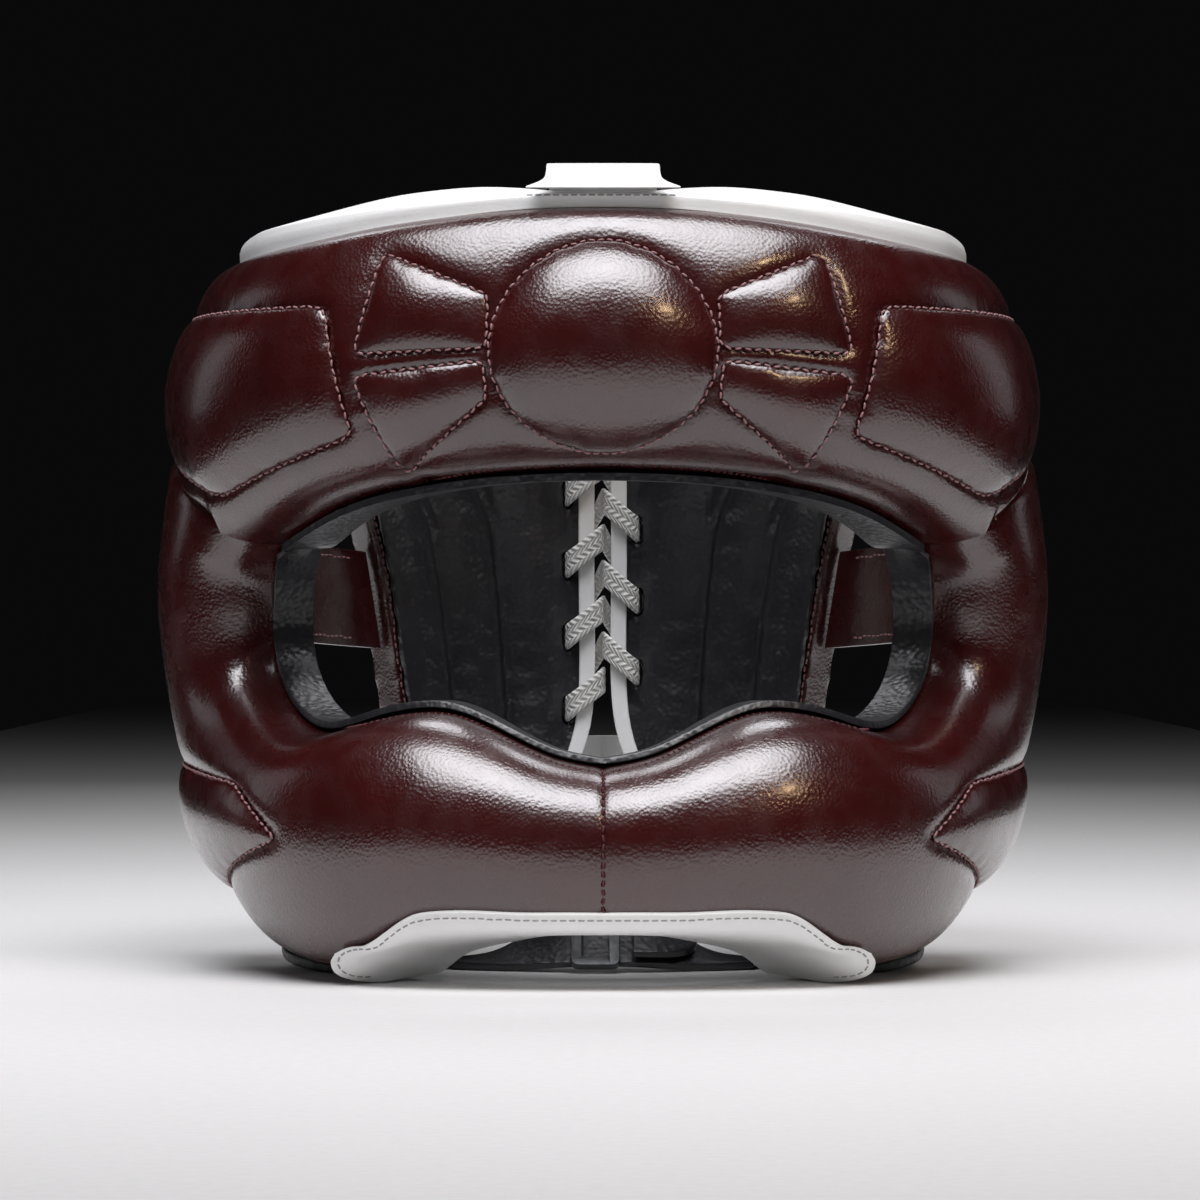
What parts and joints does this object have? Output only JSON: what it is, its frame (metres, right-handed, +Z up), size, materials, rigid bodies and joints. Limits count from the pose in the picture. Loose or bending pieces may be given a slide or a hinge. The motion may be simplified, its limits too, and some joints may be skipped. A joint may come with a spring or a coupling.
{
  "type": "boxing headgear with face bar",
  "caption": "Padded leather boxing headgear with an open face, a padded face bar, cheek, jaw and brow pads, a laced back, ear straps and a buckled chin strap.",
  "frame": {"origin": "on the floor, under the middle of the overall box", "axes": "+Z up, -Y the way the wearer faces, +X the wearer's left hand side, the viewer's right"},
  "size_m": [0.2422, 0.2572, 0.2155],
  "materials": {
    "oxblood_leather": "glossy finished leather over foam",
    "black_leather": "satin grained lining leather",
    "white_leather": "satin smooth leather",
    "lace_cotton": "flat braided lace",
    "gunmetal": "dark plated"
  },
  "bodies": {
    "root": {"forehead_panel": "oxblood_leather", "round_pad": "oxblood_leather", "bow_pad_upper_left": "oxblood_leather", "bow_pad_upper_right": "oxblood_leather", "bow_pad_lower_left": "oxblood_leather", "bow_pad_lower_right": "oxblood_leather", "temple_pad_left": "oxblood_leather", "temple_pad_right": "oxblood_leather", "face_panel_left": "oxblood_leather", "face_panel_right": "oxblood_leather", "jaw_pad_left": "oxblood_leather", "jaw_pad_right": "oxblood_leather", "rear_panel_left": "oxblood_leather", "rear_panel_right": "oxblood_leather", "ear_strap_left": "oxblood_leather", "ear_strap_right": "oxblood_leather", "forehead_lining": "black_leather", "face_lining_left": "black_leather", "face_lining_right": "black_leather", "rear_lining_left": "black_leather", "rear_lining_right": "black_leather", "chin_flap_left": "black_leather", "chin_flap_right": "black_leather", "chin_strap": "black_leather", "strap_tail": "black_leather", "crown_facing_front": "white_leather", "crown_strap": "white_leather", "chin_binding": "white_leather", "tongue": "white_leather", "crown_facing_left": "white_leather", "crown_facing_right": "white_leather", "lace_edge_left": "white_leather", "lace_edge_right": "white_leather", "chin_facing_left": "white_leather", "chin_facing_right": "white_leather", "lace": "lace_cotton", "strap_buckle": "gunmetal"}
  },
  "joints": []
}
